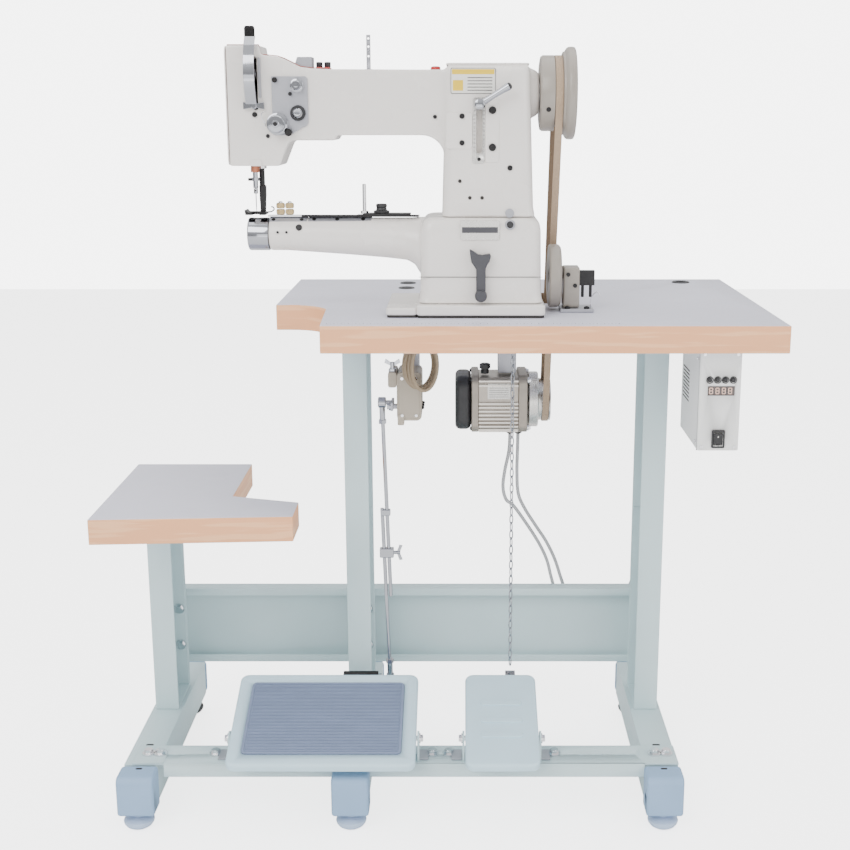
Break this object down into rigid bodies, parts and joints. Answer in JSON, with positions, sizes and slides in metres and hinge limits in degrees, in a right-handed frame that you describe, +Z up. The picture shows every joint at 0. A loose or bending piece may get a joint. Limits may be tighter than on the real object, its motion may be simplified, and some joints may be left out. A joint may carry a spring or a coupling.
{
  "type": "cylinder-arm sewing machine",
  "caption": "Industrial cylinder-arm sewing machine on a treadle stand, with a notched table, a side table, a belt-driven motor under the table and a control box.",
  "frame": {"origin": "on the floor, at the centre of the overall box, without the free cords", "axes": "+Z up; +X from the needle end to the handwheel; -Y is the side where the operator sits"},
  "size_m": [0.984, 0.515, 1.15],
  "materials": {
    "laminate": "matt laminate with a wood-grain edge",
    "stand_paint": "satin paint",
    "cap_plastic": "matt moulded plastic",
    "treadle_paint": "satin paint",
    "mat_rubber": "ribbed rubber",
    "bright_steel": "polished and plated",
    "controller_grey": "satin paint",
    "motor_alloy": "cast and machined",
    "black_plastic": "moulded",
    "panel_white": "satin paint",
    "belt_tan": "fabric-faced flat belt",
    "enamel": "gloss enamel on cast metal",
    "wheel_grey": "gloss enamel",
    "dark_lever": "moulded",
    "cable_grey": "sheathed lead",
    "cable_taupe": "sheathed lead"
  },
  "bodies": {
    "stand": {"table_top": "laminate", "side_table": "laminate", "foot_rail_left": "stand_paint", "foot_rail_middle": "stand_paint", "foot_rail_right": "stand_paint", "post_left": "stand_paint", "post_middle": "stand_paint", "post_right": "stand_paint", "cross_beam": "stand_paint", "treadle_bar": "stand_paint", "front_cap_left": "cap_plastic", "front_cap_middle": "cap_plastic", "front_cap_right": "cap_plastic", "front_foot_left": "cap_plastic", "front_foot_middle": "cap_plastic", "front_foot_right": "cap_plastic", "rear_foot_left": "cap_plastic", "rear_foot_middle": "cap_plastic", "rear_foot_right": "cap_plastic", "hook_cap": "bright_steel", "edge_guide": "bright_steel", "tension_plate": "bright_steel", "takeup_guard": "bright_steel", "speed_controller": "controller_grey", "motor_body": "motor_alloy", "motor_bracket": "motor_alloy", "motor_end_cover": "black_plastic", "control_box": "panel_white", "drive_belt": "belt_tan", "bed_plinth": "enamel", "bed_casting": "enamel", "arm_casting": "enamel", "face_cover": "enamel", "winder_bracket": "wheel_grey", "motor_cord_a": "cable_grey", "motor_cord_b": "cable_grey", "signal_cord": "cable_taupe", "signal_coil": "cable_taupe"},
    "treadle": {"treadle": "treadle_paint", "treadle_mat": "mat_rubber"},
    "pitman": {"pitman_rod": "bright_steel"},
    "speed_lever": {"speed_lever": "bright_steel"},
    "lift_pedal": {"lift_pedal": "treadle_paint"},
    "lift_chain": {"lift_chain": "bright_steel"},
    "motor_rotor": {"motor_pulley": "motor_alloy"},
    "rocker": {"rocker_switch": "black_plastic"},
    "handwheel": {"handwheel": "wheel_grey"},
    "hook": {"hook_shaft": "bright_steel"},
    "needle_bar": {"needle_bar": "bright_steel"},
    "presser_bar": {"presser_bar": "bright_steel"},
    "takeup_lever": {"takeup_lever": "bright_steel"},
    "stitch_block": {"stitch_block": "bright_steel"},
    "stitch_lever": {"stitch_lever": "bright_steel"},
    "reverse_lever": {"reverse_lever": "dark_lever"},
    "winder_wheel": {"winder_wheel": "wheel_grey"},
    "tension_dial": {"tension_dial": "bright_steel"},
    "button_1": {"panel_button_1": "black_plastic"},
    "button_2": {"panel_button_2": "black_plastic"},
    "button_3": {"panel_button_3": "black_plastic"},
    "button_4": {"panel_button_4": "black_plastic"}
  },
  "joints": [
    {"name": "treadle_tilt", "type": "hinge", "parent": "stand", "child": "treadle", "pos_m": [-0.1635, -0.1825, 0.124], "axis": [1, 0, 0], "range_deg": [-4, 8], "stiffness_Nm_per_rad": 40, "springref_deg": 1.6},
    {"name": "pitman_swing", "type": "hinge", "parent": "treadle", "child": "pitman", "pos_m": [-0.069, -0.053, 0.165], "axis": [1, 0, 0], "range_deg": [-10, 6]},
    {"name": "speed_lever_turn", "type": "hinge", "parent": "stand", "child": "speed_lever", "pos_m": [-0.0585, -0.1, 0.622], "axis": [1, 0, 0], "range_deg": [-20, 40]},
    {"name": "pedal_tilt", "type": "hinge", "parent": "stand", "child": "lift_pedal", "pos_m": [0.1065, -0.1825, 0.124], "axis": [-1, 0, 0], "range_deg": [0, 11], "stiffness_Nm_per_rad": 8, "springref_deg": -14.32},
    {"name": "chain_pull", "type": "slide", "parent": "stand", "child": "lift_chain", "axis": [0, 0, -1], "range_m": [0, 0.0255]},
    {"name": "presser_lift", "type": "slide", "parent": "stand", "child": "presser_bar", "axis": [0, 0, 1], "range_m": [0, 0.013]},
    {"name": "needle_stroke", "type": "slide", "parent": "stand", "child": "needle_bar", "axis": [0, 0, -1], "range_m": [0, 0.028]},
    {"name": "takeup_swing", "type": "hinge", "parent": "stand", "child": "takeup_lever", "pos_m": [-0.239, -0.1195, 1.08], "axis": [1, 0, 0], "range_deg": [-22, 45]},
    {"name": "handwheel_turn", "type": "hinge", "parent": "stand", "child": "handwheel", "pos_m": [-0.236, -0.1075, 1.075], "axis": [1, 0, 0], "continuous": true},
    {"name": "motor_turn", "type": "hinge", "parent": "stand", "child": "motor_rotor", "pos_m": [0.155, 0.0825, 0.594], "axis": [1, 0, 0], "continuous": true},
    {"name": "hook_turn", "type": "hinge", "parent": "stand", "child": "hook", "pos_m": [-0.244, -0.1075, 0.8785], "axis": [1, 0, 0], "continuous": true},
    {"name": "winder_turn", "type": "hinge", "parent": "stand", "child": "winder_wheel", "pos_m": [0.171, -0.10612, 0.818], "axis": [1, 0, 0], "continuous": true},
    {"name": "tension_turn", "type": "hinge", "parent": "stand", "child": "tension_dial", "pos_m": [-0.2092, -0.1514, 1.0334], "axis": [0, -1, 0], "range_deg": [-360, 360]},
    {"name": "stitch_slide", "type": "slide", "parent": "stand", "child": "stitch_block", "axis": [0, 0, -1], "range_m": [0, 0.06]},
    {"name": "stitch_clamp", "type": "hinge", "parent": "stitch_block", "child": "stitch_lever", "pos_m": [0.07, -0.1658, 1.06], "axis": [0, -1, 0], "range_deg": [0, 75]},
    {"name": "reverse_turn", "type": "hinge", "parent": "stand", "child": "reverse_lever", "pos_m": [0.0755, -0.1725, 0.847], "axis": [0, -1, 0], "range_deg": [-18, 18], "stiffness_Nm_per_rad": 0.5},
    {"name": "rocker_turn", "type": "hinge", "parent": "stand", "child": "rocker", "pos_m": [0.405, -0.2235, 0.6033], "axis": [-1, 0, 0], "range_deg": [0, 14]},
    {"name": "button_1_press", "type": "slide", "parent": "stand", "child": "button_1", "axis": [0, 1, 0], "range_m": [0, 0.0012], "stiffness_N_per_m": 300},
    {"name": "button_2_press", "type": "slide", "parent": "stand", "child": "button_2", "axis": [0, 1, 0], "range_m": [0, 0.0012], "stiffness_N_per_m": 300},
    {"name": "button_3_press", "type": "slide", "parent": "stand", "child": "button_3", "axis": [0, 1, 0], "range_m": [0, 0.0012], "stiffness_N_per_m": 300},
    {"name": "button_4_press", "type": "slide", "parent": "stand", "child": "button_4", "axis": [0, 1, 0], "range_m": [0, 0.0012], "stiffness_N_per_m": 300}
  ],
  "couplings": [
    {"joint": "pitman_swing", "follows": "treadle_tilt", "ratio": -1.03},
    {"joint": "speed_lever_turn", "follows": "treadle_tilt", "ratio": 4.7},
    {"joint": "chain_pull", "follows": "pedal_tilt", "m_per_rad": 0.1295},
    {"joint": "presser_lift", "follows": "pedal_tilt", "m_per_rad": 0.065},
    {"joint": "motor_turn", "follows": "handwheel_turn", "ratio": 1.4848},
    {"joint": "hook_turn", "follows": "handwheel_turn", "ratio": 2}
  ]
}
